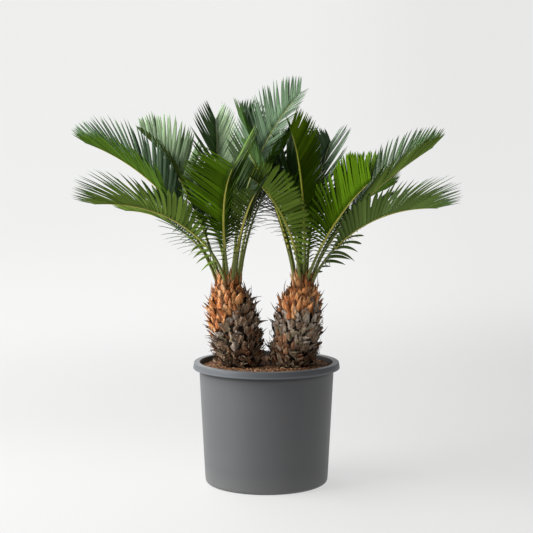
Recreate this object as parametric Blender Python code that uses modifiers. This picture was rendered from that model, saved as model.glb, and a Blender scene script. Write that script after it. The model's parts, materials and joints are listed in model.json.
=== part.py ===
# Potted sago palm with two heads, built together with its nursery pot.
# Metres, +Z up. The origin is the centre of the pot's flat underside.
# +X is to the right and +Y is away from the viewer of the photograph.

from math import cos, log, pi, radians, sin

import bmesh
import bpy
from mathutils import Matrix, Vector
from mathutils.bvhtree import BVHTree

# Modelling
MERGE_DISTANCE = 0.0001
SHARP_ANGLE = 35.0

# Pot
POT_HEIGHT = 0.306
POT_BASE_RADIUS = 0.155
POT_NECK_RADIUS = 0.1705
POT_WALL = 0.003
POT_CORNER = 0.008
LIP_TOP_RADIUS = 0.183
LIP_RADIUS = 0.185
LIP_HEIGHT = 0.0185
LIP_EDGE = 0.0015
POT_STEPS = 64

# Soil
SOIL_GAP = 0.0003
SOIL_DEPTH_BELOW_RIM = 0.0105
SOIL_EDGE_DROP = 0.003
SOIL_LEVEL_RADIUS = 0.140

# Trunks
TRUNK_STEPS = 28
TRUNK_BASE = POT_HEIGHT - SOIL_DEPTH_BELOW_RIM + SOIL_GAP
CROWN_HEIGHT = 0.503
LEFT_FOOT = -0.067
LEFT_HEAD = -0.095
RIGHT_FOOT = 0.067
RIGHT_HEAD = 0.091
# Fraction of the trunk's height, and the body's radius there
LEFT_GIRTHS = (
    (0.00, 0.056),
    (0.10, 0.062),
    (0.24, 0.0655),
    (0.48, 0.065),
    (0.70, 0.0605),
    (0.84, 0.052),
    (0.94, 0.0400),
    (1.00, 0.0345),
)
RIGHT_GIRTHS = (
    (0.00, 0.049),
    (0.10, 0.055),
    (0.24, 0.0585),
    (0.48, 0.0590),
    (0.70, 0.0550),
    (0.84, 0.0460),
    (0.94, 0.0365),
    (1.00, 0.0320),
)

# Fronds
SEAT_GAP = 0.0003
PETIOLE_SHARE = 0.16
PETIOLE_HALF_WIDTH = 0.0030
PETIOLE_DEPTH = 0.0050
MIDRIB_TIP_DEPTH = 0.0026
BLADE_EDGE_DEPTH = 0.0022
# The leaflets' reach, as shares of the leaflet length of each frond, and the
# shares of the blade's length by which it has grown and starts to fade
FIRST_REACH = 0.15
GROWN_BY = 0.38
GROWTH_POWER = 0.8
FADES_FROM = 0.68
FADE = 0.68
FADE_POWER = 1.5
# Degrees between leaflet and midrib at the blade's foot, what it loses along
# the blade, and what it loses more over the last part
FOOT_ANGLE = 84.0
ANGLE_LOSS = 42.0
TIP_ANGLE_LOSS = 26.0
TIP_FROM = 0.8
# Degrees by which the two ranks fold up, at the blade's foot and from FOLDED_BY
FOOT_FOLD = -25.0
FOLD = 42.0
FOLDED_BY = 0.4
BLADE_STATIONS = 16
FINE_PER_STATION = 5
BLADE_CLEARANCE = 0.0060
NARROWEST_BLADE = 0.0045
WIDEST_STEP = 0.30
TRIAL_SKIN = 0.0010
TRIM = 0.85
MOST_TRIMS = 24
SPLIT_DROOP = 50.0
SPLIT_PLACE = 0.46
SPLIT_GAP = 0.0004
LEAST_SPAN = 0.02
ROD_SIDES = 6
ROD_RADIUS = 0.0034

HEADS = {
    "left": Vector((LEFT_HEAD, 0.0, CROWN_HEIGHT)),
    "right": Vector((RIGHT_HEAD, 0.0, CROWN_HEIGHT)),
}

FROND_FIELDS = (
    "name",
    "head",
    "seat_angle",
    "seat_radius",
    "heading",
    "rise",
    "droop",
    "bend",
    "sweep",
    "length",
    "roll",
    "leaflet",
)

# Degrees, with heading 0 to the right, 90 away and 180 to the left.
# rise is the slope at the seat, droop the slope lost by the tip, and bend the
# share of the length by which half of that is lost.
FRONDS = (
    ("left_frond_01", "left", -107, 0.028, -155, 85, 88, 0.34, 0, 0.425, -5, 0.110),
    ("left_frond_02", "left", 180, 0.028, 175, 69, 50, 0.57, 5, 0.500, -12, 0.110),
    ("left_frond_03", "left", 150, 0.022, 152, 70, 36, 0.70, 0, 0.460, 0, 0.115),
    ("left_frond_04", "left", 100, 0.014, 112, 74, 4, 0.60, -14, 0.440, -5, 0.110),
    ("left_frond_05", "left", -92, 0.014, -103, 68, 40, 0.50, 32, 0.410, 20, 0.110),
    ("left_frond_06", "left", 40, 0.014, 26, 89, 41, 0.54, -20, 0.525, 10, 0.115),
    ("left_frond_07", "left", -65, 0.024, -68, 81, 70, 0.42, -14, 0.370, 15, 0.105),
    ("left_frond_08", "left", -22, 0.026, 10, 87, 34, 0.50, 6, 0.400, 0, 0.105),
    ("right_frond_01", "right", -35, 0.027, -30, 66, 68, 0.46, 0, 0.410, 0, 0.110),
    ("right_frond_02", "right", 15, 0.024, 12, 88, 53, 0.18, -14, 0.475, -8, 0.110),
    ("right_frond_03", "right", -62, 0.018, -55, 66, 48, 0.40, -18, 0.430, 0, 0.110),
    ("right_frond_04", "right", -40, 0.006, -100, 90, 48, 0.68, -14, 0.420, 12, 0.110),
    ("right_frond_05", "right", 60, 0.020, 54, 87, 43, 0.55, 15, 0.400, 0, 0.110),
    ("right_frond_06", "right", -106, 0.027, -128, 90, 71, 0.40, 8, 0.380, 0, 0.110),
    ("right_frond_07", "right", -148, 0.025, 175, 90, 32, 0.30, 0, 0.385, 0, 0.105),
    ("right_frond_08", "right", 160, 0.020, 140, 84, 22, 0.12, 8, 0.465, 0, 0.110),
    ("left_frond_09", "left", 95, 0.028, 108, 62, 60, 0.45, 0, 0.430, 0, 0.110),
    ("left_frond_10", "left", 130, 0.029, 138, 60, 62, 0.42, 0, 0.420, 0, 0.110),
    ("left_frond_11", "left", 60, 0.028, 75, 70, 50, 0.50, 0, 0.440, 0, 0.110),
    ("left_frond_12", "left", 15, 0.027, 62, 76, 52, 0.50, 0, 0.400, 0, 0.105),
    ("left_frond_13", "left", -170, 0.0127, 95, 88, 16, 0.50, 0, 0.250, 0, 0.080),
    ("right_frond_09", "right", 95, 0.027, 90, 66, 55, 0.45, 0, 0.440, 0, 0.110),
    ("right_frond_10", "right", 130, 0.026, 112, 74, 56, 0.45, 0, 0.420, 0, 0.110),
    ("right_frond_11", "right", 42, 0.028, 50, 66, 56, 0.42, 0, 0.420, 0, 0.110),
    ("right_frond_12", "right", 110, 0.010, 118, 86, 20, 0.50, 0, 0.320, 0, 0.090),
    ("right_frond_13", "right", -135, 0.0113, 150, 88, 16, 0.50, 0, 0.250, 0, 0.080),
)


# Scene and materials

def clear_scene():
    for obj in list(bpy.data.objects):
        bpy.data.objects.remove(obj, do_unlink=True)


def make_collection(name):
    collection = bpy.data.collections.new(name)
    bpy.context.scene.collection.children.link(collection)
    return collection


def make_material(name, color, roughness):
    material = bpy.data.materials.new(name)
    material.use_nodes = True
    shader = material.node_tree.nodes["Principled BSDF"]
    shader.inputs["Base Color"].default_value = (*color, 1.0)
    shader.inputs["Roughness"].default_value = roughness
    shader.inputs["Metallic"].default_value = 0.0
    material.diffuse_color = (*color, 1.0)
    return material


def add_object(name, mesh, material, collection):
    mesh.materials.append(material)
    obj = bpy.data.objects.new(name, mesh)
    collection.objects.link(obj)
    return obj


def current_depsgraph():
    depsgraph = bpy.context.evaluated_depsgraph_get()
    depsgraph.update()
    return depsgraph


def shade_round(mesh):
    mesh.shade_smooth()
    mesh.set_sharp_from_angle(angle=radians(SHARP_ANGLE))


def mesh_from_rings(name, rings, cap_faces):
    count = len(rings[0])
    verts = [point for ring in rings for point in ring]
    faces = []
    for row in range(len(rings) - 1):
        for column in range(count):
            after = (column + 1) % count
            here = row * count
            there = here + count
            faces.append((here + column, here + after, there + after, there + column))
    last = (len(rings) - 1) * count
    for face in cap_faces:
        faces.append(tuple(reversed(face)))
        faces.append(tuple(last + index for index in face))
    mesh = bpy.data.meshes.new(name)
    mesh.from_pydata([tuple(point) for point in verts], [], faces)
    tidy = bmesh.new()
    tidy.from_mesh(mesh)
    bmesh.ops.recalc_face_normals(tidy, faces=tidy.faces)
    bmesh.ops.triangulate(tidy, faces=tidy.faces)
    tidy.to_mesh(mesh)
    tidy.free()
    return mesh


# Pot and soil

def arc(center_x, center_z, radius, start, end, steps):
    points = []
    for step in range(steps + 1):
        angle = radians(start + (end - start) * step / steps)
        points.append((center_x + radius * cos(angle), center_z + radius * sin(angle)))
    return points


def pot_outer_radius(height):
    neck = POT_HEIGHT - POT_WALL
    share = max(0.0, min(1.0, height / neck))
    return POT_BASE_RADIUS + (POT_NECK_RADIUS - POT_BASE_RADIUS) * share


def turned(name, profile, steps, material, collection):
    mesh = bpy.data.meshes.new(name + "_profile")
    points = [(x, 0.0, z) for x, z in profile]
    edges = [(index, index + 1) for index in range(len(points) - 1)]
    mesh.from_pydata(points, edges, [])
    obj = bpy.data.objects.new(name, mesh)
    collection.objects.link(obj)
    screw = obj.modifiers.new("Turn", "SCREW")
    screw.axis = "Z"
    screw.steps = steps
    screw.render_steps = steps
    screw.use_merge_vertices = True
    screw.merge_threshold = MERGE_DISTANCE
    solid = bpy.data.meshes.new_from_object(obj.evaluated_get(current_depsgraph()))
    solid.name = name
    bpy.data.objects.remove(obj, do_unlink=True)
    bpy.data.meshes.remove(mesh)
    shade_round(solid)
    return add_object(name, solid, material, collection)


def build_pot(material, collection):
    neck = POT_HEIGHT - POT_WALL
    lip_bottom = POT_HEIGHT - LIP_HEIGHT
    inside_top = pot_outer_radius(neck) - POT_WALL
    inside_corner = POT_CORNER - POT_WALL
    base_edge = POT_BASE_RADIUS - POT_CORNER
    profile = [(0.0, POT_WALL)]
    profile += arc(base_edge, POT_WALL + inside_corner, inside_corner, -90, 0, 3)
    profile.append((inside_top, neck))
    profile += arc(inside_top + LIP_EDGE, POT_HEIGHT - LIP_EDGE, LIP_EDGE, 180, 90, 2)
    profile += arc(LIP_TOP_RADIUS - LIP_EDGE, POT_HEIGHT - LIP_EDGE, LIP_EDGE, 90, 0, 3)
    profile.append((LIP_RADIUS, lip_bottom + LIP_EDGE))
    profile.append((LIP_RADIUS - LIP_EDGE, lip_bottom))
    profile.append((LIP_RADIUS - POT_WALL, lip_bottom + LIP_EDGE))
    profile.append((LIP_TOP_RADIUS - POT_WALL, neck))
    profile.append((pot_outer_radius(neck), neck))
    profile += arc(base_edge, POT_CORNER, POT_CORNER, 0, -90, 4)
    profile.append((0.0, 0.0))
    return turned("pot", profile, POT_STEPS, material, collection)


def build_soil(material, collection):
    level = POT_HEIGHT - SOIL_DEPTH_BELOW_RIM
    edge = level - SOIL_EDGE_DROP
    edge_radius = pot_outer_radius(edge) - POT_WALL - SOIL_GAP
    corner = POT_CORNER - POT_WALL
    base_edge = POT_BASE_RADIUS - POT_CORNER
    floor = POT_WALL + SOIL_GAP
    reach = corner - SOIL_GAP
    profile = [(0.0, level), (SOIL_LEVEL_RADIUS, level), (edge_radius, edge)]
    profile += arc(base_edge, POT_WALL + corner, reach, 0, -90, 3)
    profile.append((0.0, floor))
    return turned("soil", profile, POT_STEPS, material, collection)


# Trunks

def build_trunk(name, foot, head, girths, material, collection):
    rings = []
    height = CROWN_HEIGHT - TRUNK_BASE
    for share, radius in girths:
        center = foot + (head - foot) * share
        z = TRUNK_BASE + height * share
        ring = []
        for step in range(TRUNK_STEPS):
            angle = 2.0 * pi * step / TRUNK_STEPS
            ring.append(Vector((center + radius * cos(angle), radius * sin(angle), z)))
        rings.append(ring)
    mesh = mesh_from_rings(name, rings, [tuple(range(TRUNK_STEPS))])
    shade_round(mesh)
    return add_object(name, mesh, material, collection)


# Fronds

def slope_and_heading(frond, share):
    power = log(0.5) / log(frond["bend"])
    slope = radians(frond["rise"] - frond["droop"] * share ** power)
    heading = radians(frond["heading"] + frond["sweep"] * share)
    return slope, heading


def direction_at(frond, share):
    slope, heading = slope_and_heading(frond, share)
    return Vector((cos(heading) * cos(slope), sin(heading) * cos(slope), sin(slope)))


def midrib_points(frond, count):
    seat = radians(frond["seat_angle"])
    offset = Vector((cos(seat), sin(seat), 0.0)) * frond["seat_radius"]
    point = HEADS[frond["head"]] + offset + Vector((0.0, 0.0, SEAT_GAP))
    points = [point.copy()]
    for index in range(count):
        step = direction_at(frond, (index + 0.5) / count)
        point = point + step * (frond["length"] / count)
        points.append(point.copy())
    return points


def frame_at(frond, share):
    tangent = direction_at(frond, share)
    heading = slope_and_heading(frond, share)[1]
    side = Vector((-sin(heading), cos(heading), 0.0))
    roll = Matrix.Rotation(radians(frond["roll"]), 3, tangent)
    face = tangent.cross(side)
    return tangent, roll @ side, roll @ face


def blade_share(share):
    return max(0.0, (share - PETIOLE_SHARE) / (1.0 - PETIOLE_SHARE))


def leaflet_reach(frond, share):
    place = blade_share(share)
    grown = min(1.0, place / GROWN_BY) ** GROWTH_POWER
    growth = FIRST_REACH + (1.0 - FIRST_REACH) * grown
    faded = max(0.0, (place - FADES_FROM) / (1.0 - FADES_FROM)) ** FADE_POWER
    fading = 1.0 - FADE * faded
    return frond["leaflet"] * growth * fading


def leaflet_angle(share):
    place = blade_share(share)
    tip = max(0.0, (place - TIP_FROM) / (1.0 - TIP_FROM)) ** FADE_POWER
    return radians(FOOT_ANGLE - ANGLE_LOSS * place - TIP_ANGLE_LOSS * tip)


def fold_angle(share):
    blend = min(1.0, blade_share(share) / FOLDED_BY)
    blend = blend * blend * (3.0 - 2.0 * blend)
    return radians(FOOT_FOLD + (FOLD - FOOT_FOLD) * blend)


def leaflet_direction(frond, share, hand):
    tangent, side, face = frame_at(frond, share)
    angle = leaflet_angle(share)
    fold = fold_angle(share)
    outward = side * hand * cos(fold) + face * sin(fold)
    return (tangent * cos(angle) + outward * sin(angle)).normalized()


def rod_tree(points):
    verts = []
    faces = []
    for row, point in enumerate(points):
        ahead = points[min(row + 1, len(points) - 1)]
        behind = points[max(row - 1, 0)]
        along = (ahead - behind).normalized()
        across = along.orthogonal().normalized()
        other = along.cross(across)
        for step in range(ROD_SIDES):
            angle = 2.0 * pi * step / ROD_SIDES
            verts.append(point + (across * cos(angle) + other * sin(angle)) * ROD_RADIUS)
    for row in range(len(points) - 1):
        for step in range(ROD_SIDES):
            after = (step + 1) % ROD_SIDES
            here = row * ROD_SIDES
            there = here + ROD_SIDES
            faces.append((here + step, here + after, there + after, there + step))
    return BVHTree.FromPolygons(verts, faces)


def free_reach(origin, direction, reach, obstacles):
    start = origin + direction * NARROWEST_BLADE
    free = reach
    for tree in obstacles:
        hit = tree.ray_cast(start, direction, reach)
        if hit[3] is not None:
            free = min(free, hit[3] + NARROWEST_BLADE - BLADE_CLEARANCE)
    return max(free, NARROWEST_BLADE)


def smoothed(shares):
    # Lowers any share that stands more than WIDEST_STEP above its neighbour.
    for index in range(1, len(shares)):
        shares[index] = min(shares[index], shares[index - 1] + WIDEST_STEP)
    for index in range(len(shares) - 2, -1, -1):
        shares[index] = min(shares[index], shares[index + 1] + WIDEST_STEP)
    return shares


def blade_reaches(frond, obstacles):
    fine = BLADE_STATIONS * FINE_PER_STATION
    points = midrib_points(frond, fine)
    reaches = {}
    for hand in (1, -1):
        limits = []
        for index, point in enumerate(points):
            share = index / fine
            reach = leaflet_reach(frond, share) if share > PETIOLE_SHARE else 0.0
            if reach > 0.0:
                direction = leaflet_direction(frond, share, hand)
                reach = free_reach(point, direction, reach, obstacles)
            limits.append(reach)
        shares = []
        for index in range(fine + 1):
            full = leaflet_reach(frond, index / fine)
            shares.append(limits[index] / full if limits[index] > 0.0 else 1.0)
        kept = []
        for station in range(BLADE_STATIONS + 1):
            middle = station * FINE_PER_STATION
            low = max(0, middle - FINE_PER_STATION)
            high = min(fine, middle + FINE_PER_STATION)
            kept.append(min(shares[low:high + 1]))
        reaches[hand] = smoothed(kept)
    return reaches


def frond_section(frond, point, share, reaches, skin):
    tangent, side, face = frame_at(frond, share)
    depth = PETIOLE_DEPTH + (MIDRIB_TIP_DEPTH - PETIOLE_DEPTH) * share
    if share == 0.0:
        heading = slope_and_heading(frond, 0.0)[1]
        side = Vector((-sin(heading), cos(heading), 0.0))
        face = Vector((-cos(heading), -sin(heading), 0.0))
    tips = {}
    edge = face * (BLADE_EDGE_DEPTH / 2.0 + skin)
    for hand in (1, -1):
        if share <= PETIOLE_SHARE:
            tips[hand] = point + side * hand * PETIOLE_HALF_WIDTH
        else:
            place = share * BLADE_STATIONS
            low = min(int(place), BLADE_STATIONS - 1)
            blend = place - low
            kept = reaches[hand][low] * (1.0 - blend) + reaches[hand][low + 1] * blend
            reach = max(NARROWEST_BLADE, leaflet_reach(frond, share) * kept) + skin
            tips[hand] = point + leaflet_direction(frond, share, hand) * reach
    middle = face * (depth / 2.0 + skin)
    return [
        tips[1] + edge,
        point + middle,
        tips[-1] + edge,
        tips[-1] - edge,
        point - middle,
        tips[1] - edge,
    ]


def frond_mesh(name, frond, reaches, start, end, skin=0.0):
    fine = BLADE_STATIONS * FINE_PER_STATION
    points = midrib_points(frond, fine)
    shares = [start]
    for station in range(1, BLADE_STATIONS):
        share = station / BLADE_STATIONS
        if start + LEAST_SPAN < share < end - LEAST_SPAN:
            shares.append(share)
    shares.append(end)
    rings = []
    for share in shares:
        place = share * fine
        low = min(int(place), fine - 1)
        point = points[low].lerp(points[low + 1], place - low)
        rings.append(frond_section(frond, point, share, reaches, skin))
    return mesh_from_rings(name, rings, [(0, 1, 4, 5), (1, 2, 3, 4)])


def crossing_centers(mesh, obstacles):
    solid = bmesh.new()
    solid.from_mesh(mesh)
    solid.faces.ensure_lookup_table()
    tree = BVHTree.FromBMesh(solid)
    crossed = {pair[0] for other in obstacles for pair in tree.overlap(other)}
    centers = [solid.faces[index].calc_center_median() for index in sorted(crossed)]
    solid.free()
    return centers


def nearest_station(frond, points, center):
    nearest = (1.0, 1, 0)
    for hand in (1, -1):
        for station in range(BLADE_STATIONS + 1):
            share = station / BLADE_STATIONS
            if share <= PETIOLE_SHARE:
                continue
            direction = leaflet_direction(frond, share, hand)
            root = points[station * FINE_PER_STATION]
            along = (center - root).dot(direction)
            along = max(0.0, min(leaflet_reach(frond, share), along))
            distance = (root + direction * along - center).length
            nearest = min(nearest, (distance, hand, station))
    return nearest[1], nearest[2]


def trim_blade(frond, reaches, obstacles):
    # Narrows the blade wherever its skin still meets another frond.
    points = midrib_points(frond, BLADE_STATIONS * FINE_PER_STATION)
    for attempt in range(MOST_TRIMS):
        trial = frond_mesh("trial", frond, reaches, 0.0, 1.0, TRIAL_SKIN)
        centers = crossing_centers(trial, obstacles)
        bpy.data.meshes.remove(trial)
        if not centers:
            return
        for hand, station in sorted({nearest_station(frond, points, c) for c in centers}):
            reaches[hand][station] *= TRIM


def build_frond(frond, obstacles, material, collection):
    reaches = blade_reaches(frond, obstacles)
    trim_blade(frond, reaches, obstacles)
    spans = [(frond["name"], 0.0, 1.0)]
    if frond["droop"] >= SPLIT_DROOP:
        half_gap = SPLIT_GAP / 2.0 / frond["length"]
        spans = [
            (frond["name"], 0.0, SPLIT_PLACE - half_gap),
            (frond["name"] + "_tip", SPLIT_PLACE + half_gap, 1.0),
        ]
    trees = []
    for name, start, end in spans:
        mesh = frond_mesh(name, frond, reaches, start, end)
        add_object(name, mesh, material, collection)
        solid = bmesh.new()
        solid.from_mesh(mesh)
        trees.append(BVHTree.FromBMesh(solid))
        solid.free()
    return trees


def build_fronds(material, collection):
    fronds = [dict(zip(FROND_FIELDS, row)) for row in FRONDS]
    fine = BLADE_STATIONS * FINE_PER_STATION
    rods = [rod_tree(midrib_points(frond, fine)) for frond in fronds]
    built = []
    for index, frond in enumerate(fronds):
        others = rods[:index] + rods[index + 1:]
        built += build_frond(frond, others + built, material, collection)


def main():
    clear_scene()
    palm = make_collection("potted_sago_palm")
    pot_grey = make_material("pot_grey", (0.085, 0.090, 0.096), 0.55)
    soil_brown = make_material("soil_brown", (0.085, 0.040, 0.025), 0.95)
    bark_brown = make_material("bark_brown", (0.180, 0.105, 0.062), 0.90)
    frond_green = make_material("frond_green", (0.045, 0.135, 0.030), 0.50)
    build_pot(pot_grey, palm)
    build_soil(soil_brown, palm)
    build_trunk("trunk_left", LEFT_FOOT, LEFT_HEAD, LEFT_GIRTHS, bark_brown, palm)
    build_trunk("trunk_right", RIGHT_FOOT, RIGHT_HEAD, RIGHT_GIRTHS, bark_brown, palm)
    build_fronds(frond_green, palm)


main()
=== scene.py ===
# Potted sago palm with two heads: its looks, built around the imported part.
# Metres, +Z up, the origin at the centre of the pot's underside.

import json
import math
import random

import bmesh
import bpy
import numpy as np
from mathutils import Matrix, Vector, noise

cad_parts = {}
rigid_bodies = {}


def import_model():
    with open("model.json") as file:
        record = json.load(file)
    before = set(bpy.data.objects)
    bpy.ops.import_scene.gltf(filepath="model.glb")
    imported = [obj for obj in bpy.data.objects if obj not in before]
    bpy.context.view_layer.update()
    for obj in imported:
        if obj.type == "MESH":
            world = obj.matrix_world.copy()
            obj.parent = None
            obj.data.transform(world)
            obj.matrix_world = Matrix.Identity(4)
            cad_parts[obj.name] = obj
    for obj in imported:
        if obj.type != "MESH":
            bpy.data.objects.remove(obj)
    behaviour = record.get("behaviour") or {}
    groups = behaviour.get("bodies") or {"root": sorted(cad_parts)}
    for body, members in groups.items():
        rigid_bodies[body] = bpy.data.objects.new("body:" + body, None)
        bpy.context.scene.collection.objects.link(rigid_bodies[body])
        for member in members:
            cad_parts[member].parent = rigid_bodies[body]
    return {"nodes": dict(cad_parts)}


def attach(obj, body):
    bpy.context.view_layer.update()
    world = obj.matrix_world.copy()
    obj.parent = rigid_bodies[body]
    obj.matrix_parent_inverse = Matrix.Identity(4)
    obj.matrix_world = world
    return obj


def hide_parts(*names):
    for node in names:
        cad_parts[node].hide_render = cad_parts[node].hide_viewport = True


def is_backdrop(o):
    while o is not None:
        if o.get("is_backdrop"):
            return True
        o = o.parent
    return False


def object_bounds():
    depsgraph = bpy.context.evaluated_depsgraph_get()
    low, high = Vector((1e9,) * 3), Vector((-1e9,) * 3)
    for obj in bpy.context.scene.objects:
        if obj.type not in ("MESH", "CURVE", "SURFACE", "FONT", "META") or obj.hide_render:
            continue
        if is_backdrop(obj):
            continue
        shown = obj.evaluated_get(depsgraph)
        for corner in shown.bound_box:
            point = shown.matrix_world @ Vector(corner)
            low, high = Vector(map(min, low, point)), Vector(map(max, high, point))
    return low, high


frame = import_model()
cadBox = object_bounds()
print("stage: frame loaded")


# Small helpers

def smoothStep(x):
    x = np.clip(x, 0.0, 1.0)
    return x * x * (3.0 - 2.0 * x)


def unit(v):
    return v / np.maximum(np.linalg.norm(v, axis=-1, keepdims=True), 1e-12)


def profileValue(table, share):
    return np.interp(share, *zip(*table))


def linked(name, data):
    obj = bpy.data.objects.new(name, data)
    bpy.context.scene.collection.objects.link(obj)
    return obj


def meshObject(name, points, faces, materials=(), closed=True):
    mesh = bpy.data.meshes.new(name)
    mesh.from_pydata([tuple(p) for p in points], [], faces)
    if closed:
        tidy = bmesh.new()
        tidy.from_mesh(mesh)
        bmesh.ops.recalc_face_normals(tidy, faces=tidy.faces)
        tidy.to_mesh(mesh)
        tidy.free()
    mesh.shade_smooth()
    for material in materials:
        mesh.materials.append(material)
    return linked(name, mesh)


# attributes that the node trees use up, and their kinds
spentKinds = {
    "turn": "QUATERNION", "size": "FLOAT_VECTOR", "bend": "FLOAT_VECTOR", "along": "FLOAT", "kind": "INT",
    "shade": "INT", "zone": "INT", "half": "INT", "underside": "BOOLEAN",
}


def writeAttribute(mesh, name, domain, values):
    kind = spentKinds.get(name, "BOOLEAN")
    layer = mesh.attributes.new(name, kind, domain)
    field = "vector" if kind == "FLOAT_VECTOR" else "value"
    layer.data.foreach_set(field, np.asarray(values).ravel())


def seatObject(name, rows):
    # One point for each row: root, three axes, size, kind, shade and, for leaflets, bend.
    mesh = bpy.data.meshes.new(name)
    mesh.from_pydata([tuple(row[0]) for row in rows], [], [])
    turns = [tuple(Matrix(row[1:4]).transposed().to_quaternion()) for row in rows]
    for label, values in zip(("turn", "size", "kind", "shade", "bend"), (turns, *list(zip(*rows))[4:])):
        writeAttribute(mesh, label, "POINT", values)
    return linked(name, mesh)


def arc(x, z, radius, start, end, steps):
    angles = np.radians(np.linspace(start, end, steps + 1))
    return [(x + radius * math.cos(a), z + radius * math.sin(a)) for a in angles]


def ringPoints(radius, z, steps, shift=0.0):
    angles = [2 * math.pi * (step + shift) / steps for step in range(steps)]
    return [(radius * math.cos(a), radius * math.sin(a), z) for a in angles]


def loftFaces(rings, sides, base=0):
    faces = []
    for row in range(rings - 1):
        for column in range(sides):
            after = (column + 1) % sides
            here, there = base + row * sides, base + (row + 1) * sides
            faces.append((here + column, here + after, there + after, there + column))
    return faces


def capFaces(ring, sides, pole):
    return [(ring + column, ring + (column + 1) % sides, pole) for column in range(sides)]


def closedFaces(rings, sides, poles):
    # A loft with a pole at its end, and a pole or one flat face at its start.
    count = rings * sides
    start = capFaces(0, sides, count) if poles > 1 else [tuple(range(sides))]
    return loftFaces(rings, sides) + capFaces(count - sides, sides, count + poles - 1) + start


def stands(obj, nodes):
    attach(obj, "root")
    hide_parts(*nodes)


# Node helpers

def feed(tree, node, inputs):
    # Each input takes a value or another node's output.
    for socket, source in inputs.items():
        if isinstance(source, bpy.types.NodeSocket):
            tree.links.new(source, node.inputs[socket])
        else:
            node.inputs[socket].default_value = source
    return node


def addNode(tree, kind, inputs=None, **settings):
    node = tree.nodes.new(kind)
    for key, value in settings.items():
        setattr(node, key, value)
    return feed(tree, node, inputs or {})


def mathNode(tree, operation, first, second):
    return addNode(tree, "ShaderNodeMath", {0: first, 1: second}, operation=operation).outputs[0]


def named(tree, name):
    node = addNode(tree, "GeometryNodeInputNamedAttribute", {"Name": name}, data_type=spentKinds[name])
    return node.outputs["Attribute"]


def randomNode(tree, inputs, kind="FLOAT"):
    return addNode(tree, "FunctionNodeRandomValue", inputs, data_type=kind).outputs


def equalTo(tree, field, number):
    sockets = {2: field, 3: number}
    return addNode(tree, "FunctionNodeCompare", sockets, data_type="INT", operation="EQUAL").outputs[0]


def putMaterial(tree, flow, material, chosen):
    sockets = {"Geometry": flow, "Material": material, "Selection": chosen}
    return addNode(tree, "GeometryNodeSetMaterial", sockets).outputs[0]


def painted(tree, flow, shade, materials, mask=None):
    # Gives each shade its material, only inside the mask if there is one.
    for index, material in enumerate(materials):
        chosen = equalTo(tree, shade, index)
        if mask is not None:
            sockets = {0: chosen, 1: mask}
            chosen = addNode(tree, "FunctionNodeBooleanMath", sockets, operation="AND").outputs[0]
        flow = putMaterial(tree, flow, material, chosen)
    return flow


def newTree(name):
    tree = bpy.data.node_groups.new(name, "GeometryNodeTree")
    for way in ("INPUT", "OUTPUT"):
        tree.interface.new_socket("Geometry", in_out=way, socket_type="NodeSocketGeometry")
    return tree, tree.nodes.new("NodeGroupInput").outputs[0]


def instances(tree, points, shelf, inputs):
    # Puts the shelf's objects on the points and makes them real.
    sockets = {"Collection": shelf, "Separate Children": True}
    pick = addNode(tree, "GeometryNodeCollectionInfo", sockets, transform_space="RELATIVE").outputs[0]
    sockets = {"Points": points, "Instance": pick, "Pick Instance": True, **inputs}
    place = addNode(tree, "GeometryNodeInstanceOnPoints", sockets).outputs[0]
    return addNode(tree, "GeometryNodeRealizeInstances", {0: place}).outputs[0]


def seated(tree, points, shelf, twist, seed, axis):
    # As the points' attributes say, each object twisted at random about its axis.
    spin = randomNode(tree, {2: -twist, 3: twist, "Seed": seed})[1]
    about = addNode(tree, "FunctionNodeAxisAngleToRotation", {"Axis": axis, "Angle": spin}).outputs[0]
    sockets = {0: named(tree, "turn"), 1: about}
    turned = addNode(tree, "FunctionNodeRotateRotation", sockets, rotation_space="LOCAL").outputs[0]
    return instances(tree, points, shelf, {
        "Instance Index": named(tree, "kind"), "Rotation": turned,
        "Scale": named(tree, "size"),
    })


def grown(name, source, tree, flow):
    # Runs the tree on the source and keeps the result as a plain mesh.
    addNode(tree, "NodeGroupOutput", {0: flow})
    source.modifiers.new("Grow", "NODES").node_group = tree
    view = bpy.context.evaluated_depsgraph_get()
    view.update()
    mesh = bpy.data.meshes.new_from_object(source.evaluated_get(view), depsgraph=view)
    mesh.name = name
    bpy.data.objects.remove(source, do_unlink=True)
    for layer in [a.name for a in mesh.attributes if a.name in spentKinds]:
        mesh.attributes.remove(mesh.attributes[layer])
    return linked(name, mesh)


def templateCollection(name, objects):
    shelf = bpy.data.collections.new(name)
    bpy.context.scene.collection.children.link(shelf)
    for obj in objects:
        bpy.context.scene.collection.objects.unlink(obj)
        shelf.objects.link(obj)
    return shelf


def clearTemplates(shelf):
    for obj in list(shelf.objects):
        bpy.data.objects.remove(obj, do_unlink=True)
    bpy.data.collections.remove(shelf)


# Materials

def feedShader(material, inputs):
    feed(material.node_tree, material.node_tree.nodes["Principled BSDF"], inputs)


def objectPlace(tree):
    return addNode(tree, "ShaderNodeTexCoord").outputs["Object"]


def mapped(tree, source, start, end, before, after, kind="SMOOTHSTEP"):
    # A smooth or straight step between two values.
    sockets = {"Value": source, "From Min": start, "From Max": end, "To Min": before, "To Max": after}
    return addNode(tree, "ShaderNodeMapRange", sockets, interpolation_type=kind).outputs[0]


def banded(tree, axes, paintedLightBands, value):
    # Multiplies the value by one smooth step for each band.
    for axis, *steps in paintedLightBands:
        value = mathNode(tree, "MULTIPLY", mapped(tree, axes[axis], *steps), value)
    return value


def noiseNode(tree, vector, scale, detail, roughness=.5):
    sockets = {"Vector": vector, "Scale": scale, "Detail": detail, "Roughness": roughness}
    return addNode(tree, "ShaderNodeTexNoise", sockets).outputs[0]


def reliefNode(tree, height, strength, distance):
    sockets = {"Height": height, "Strength": strength, "Distance": distance}
    return addNode(tree, "ShaderNodeBump", sockets).outputs[0]


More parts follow.
